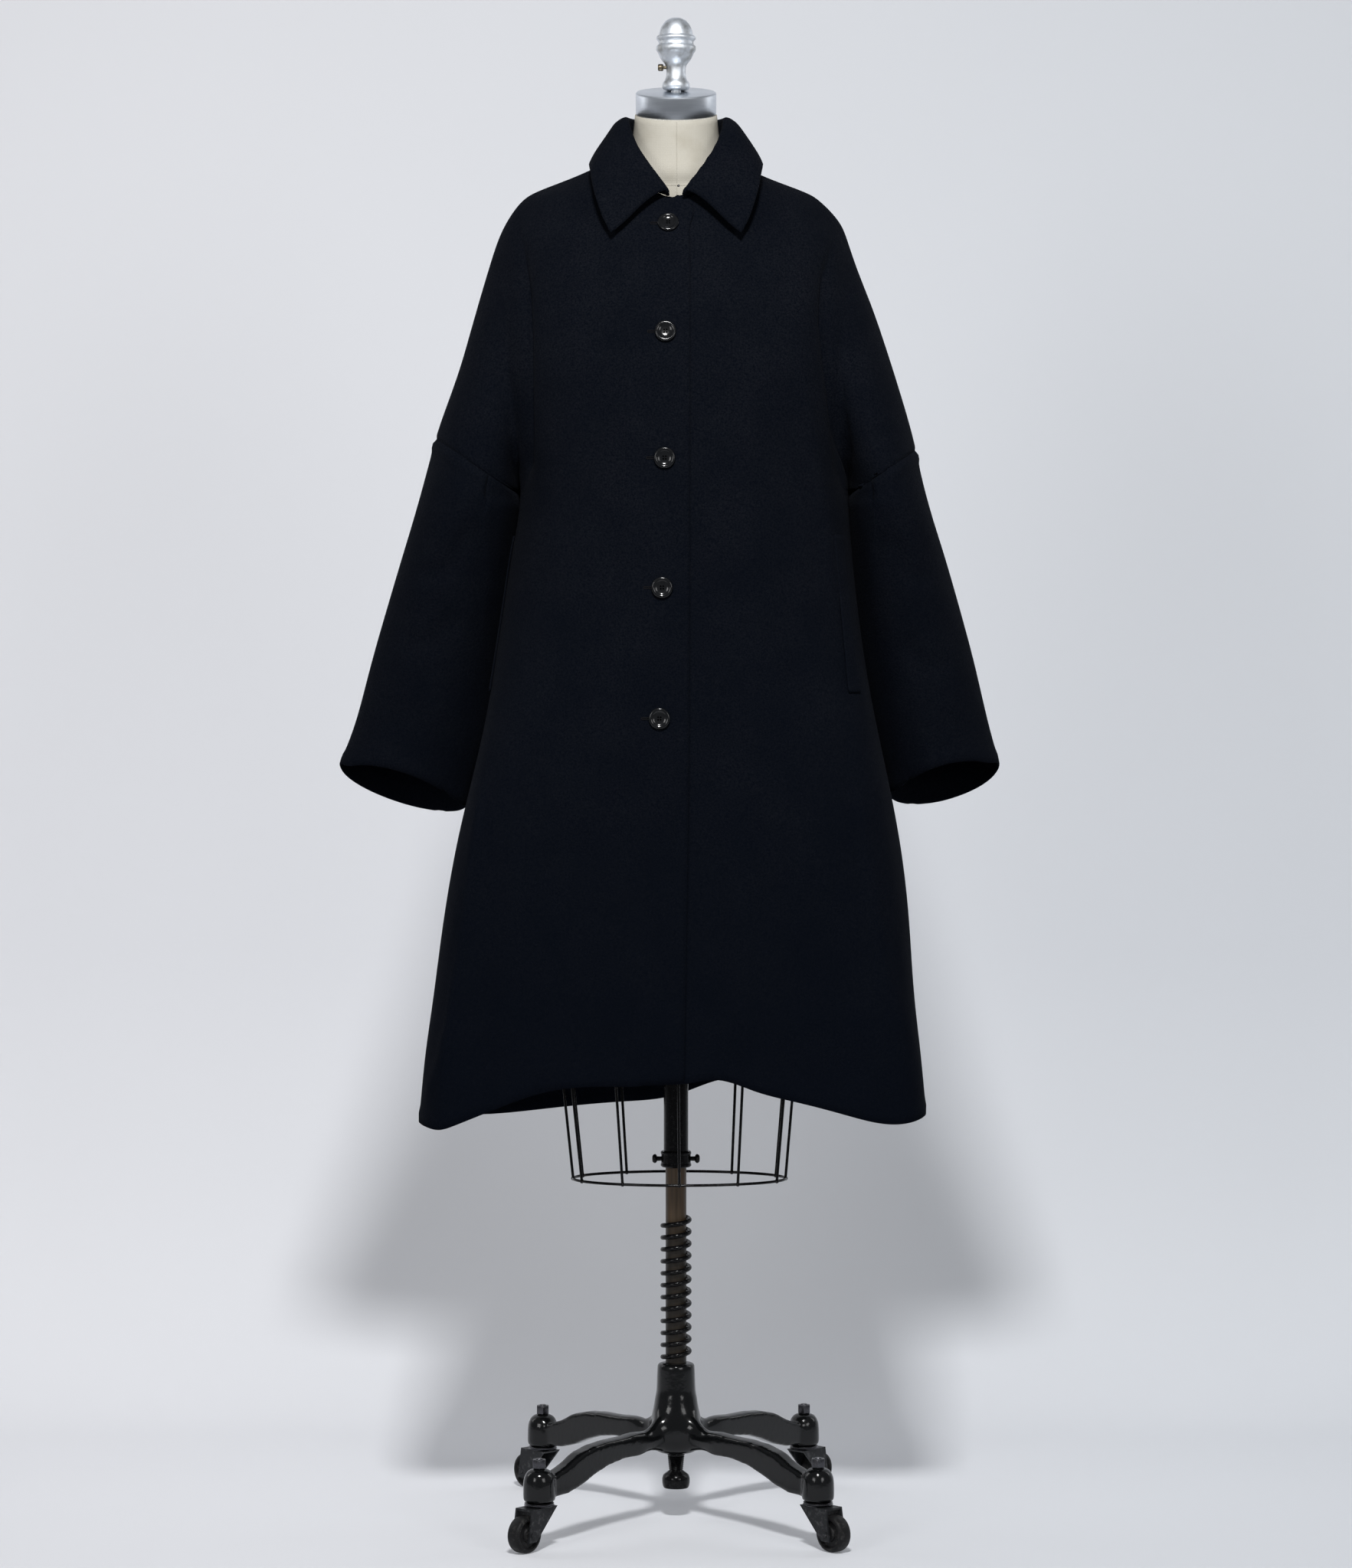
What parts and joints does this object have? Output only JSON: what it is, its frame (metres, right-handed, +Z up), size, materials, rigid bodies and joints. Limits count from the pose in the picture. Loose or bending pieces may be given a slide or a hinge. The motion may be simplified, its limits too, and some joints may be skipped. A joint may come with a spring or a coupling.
{
  "type": "wool coat on a dress form with a wheeled stand",
  "caption": "Long flared wool coat with a point collar, dropped shoulders and buttons, on a canvas dress form over a cast base with casters.",
  "frame": {"origin": "on the floor below the pole's axis", "axes": "+Z up along the pole, -Y out of the coat's front, +X to the wearer's left"},
  "size_m": [0.8003, 0.452, 1.8045],
  "materials": {
    "wool": "thick wool with a soft nap, near black",
    "button_horn": "polished dark horn",
    "canvas": "cream canvas stretched over the form",
    "cap_aluminium": "brushed around its rim",
    "cast_aluminium": "satin, cast and turned",
    "brass": "dull brass",
    "black_steel": "black painted steel",
    "black_enamel": "black enamelled cast iron, a little worn",
    "stained_wood": "dark stained wood",
    "dark_chrome": "dark plated steel",
    "black_rubber": "black hard rubber"
  },
  "bodies": {
    "stand": {"base_casting": "black_enamel", "pole": "stained_wood", "spring": "black_steel", "foot_stem": "black_steel", "caster_nut_1": "dark_chrome", "caster_nut_2": "dark_chrome", "caster_nut_3": "dark_chrome", "caster_nut_4": "dark_chrome"},
    "clamp": {"clamp_collar": "black_steel", "clamp_screw_left": "black_steel", "clamp_screw_right": "black_steel"},
    "form": {"form_torso": "canvas", "neck_cap": "cap_aluminium", "finial": "cast_aluminium", "finial_screw": "brass", "form_tube": "black_steel", "cage_ring": "black_steel", "cage_wire_01": "black_steel", "cage_wire_02": "black_steel", "cage_wire_03": "black_steel", "cage_wire_04": "black_steel", "cage_wire_05": "black_steel", "cage_wire_06": "black_steel", "cage_wire_07": "black_steel", "cage_wire_08": "black_steel", "cage_wire_09": "black_steel", "cage_wire_10": "black_steel", "cage_wire_11": "black_steel", "cage_wire_12": "black_steel", "front_right": "wool", "front_left": "wool", "back": "wool", "sleeve_top_right": "wool", "sleeve_under_right": "wool", "sleeve_top_left": "wool", "sleeve_under_left": "wool", "collar": "wool", "pocket_welt_right": "wool", "pocket_welt_left": "wool", "button_1": "button_horn", "button_2": "button_horn", "button_3": "button_horn", "button_4": "button_horn", "button_5": "button_horn"},
    "caster_1": {"caster_race_1": "dark_chrome", "caster_fork_1": "black_steel"},
    "wheel_1": {"caster_wheel_1": "black_rubber"},
    "caster_2": {"caster_race_2": "dark_chrome", "caster_fork_2": "black_steel"},
    "wheel_2": {"caster_wheel_2": "black_rubber"},
    "caster_3": {"caster_race_3": "dark_chrome", "caster_fork_3": "black_steel"},
    "wheel_3": {"caster_wheel_3": "black_rubber"},
    "caster_4": {"caster_race_4": "dark_chrome", "caster_fork_4": "black_steel"},
    "wheel_4": {"caster_wheel_4": "black_rubber"}
  },
  "joints": [
    {"name": "height", "type": "slide", "parent": "stand", "child": "clamp", "axis": [0, 0, 1], "range_m": [-0.05, 0.12]},
    {"name": "turn", "type": "hinge", "parent": "clamp", "child": "form", "pos_m": [0, 0, 0.4463], "axis": [0, 0, 1], "continuous": true},
    {"name": "swivel_1", "type": "hinge", "parent": "stand", "child": "caster_1", "pos_m": [-0.15978, -0.18582, 0.0539], "axis": [0, 0, 1], "continuous": true},
    {"name": "roll_1", "type": "hinge", "parent": "caster_1", "child": "wheel_1", "pos_m": [-0.17641, -0.20515, 0.02177], "axis": [0.7582, -0.652, 0], "continuous": true},
    {"name": "swivel_2", "type": "hinge", "parent": "stand", "child": "caster_2", "pos_m": [0.16617, -0.18013, 0.0539], "axis": [0, 0, 1], "continuous": true},
    {"name": "roll_2", "type": "hinge", "parent": "caster_2", "child": "wheel_2", "pos_m": [0.18346, -0.19887, 0.02177], "axis": [0.735, 0.6781, 0], "continuous": true},
    {"name": "swivel_3", "type": "hinge", "parent": "stand", "child": "caster_3", "pos_m": [0.15978, 0.18582, 0.0539], "axis": [0, 0, 1], "continuous": true},
    {"name": "roll_3", "type": "hinge", "parent": "caster_3", "child": "wheel_3", "pos_m": [0.17641, 0.20515, 0.02177], "axis": [-0.7582, 0.652, 0], "continuous": true},
    {"name": "swivel_4", "type": "hinge", "parent": "stand", "child": "caster_4", "pos_m": [-0.16617, 0.18013, 0.0539], "axis": [0, 0, 1], "continuous": true},
    {"name": "roll_4", "type": "hinge", "parent": "caster_4", "child": "wheel_4", "pos_m": [-0.18346, 0.19887, 0.02177], "axis": [-0.735, -0.6781, 0], "continuous": true}
  ]
}
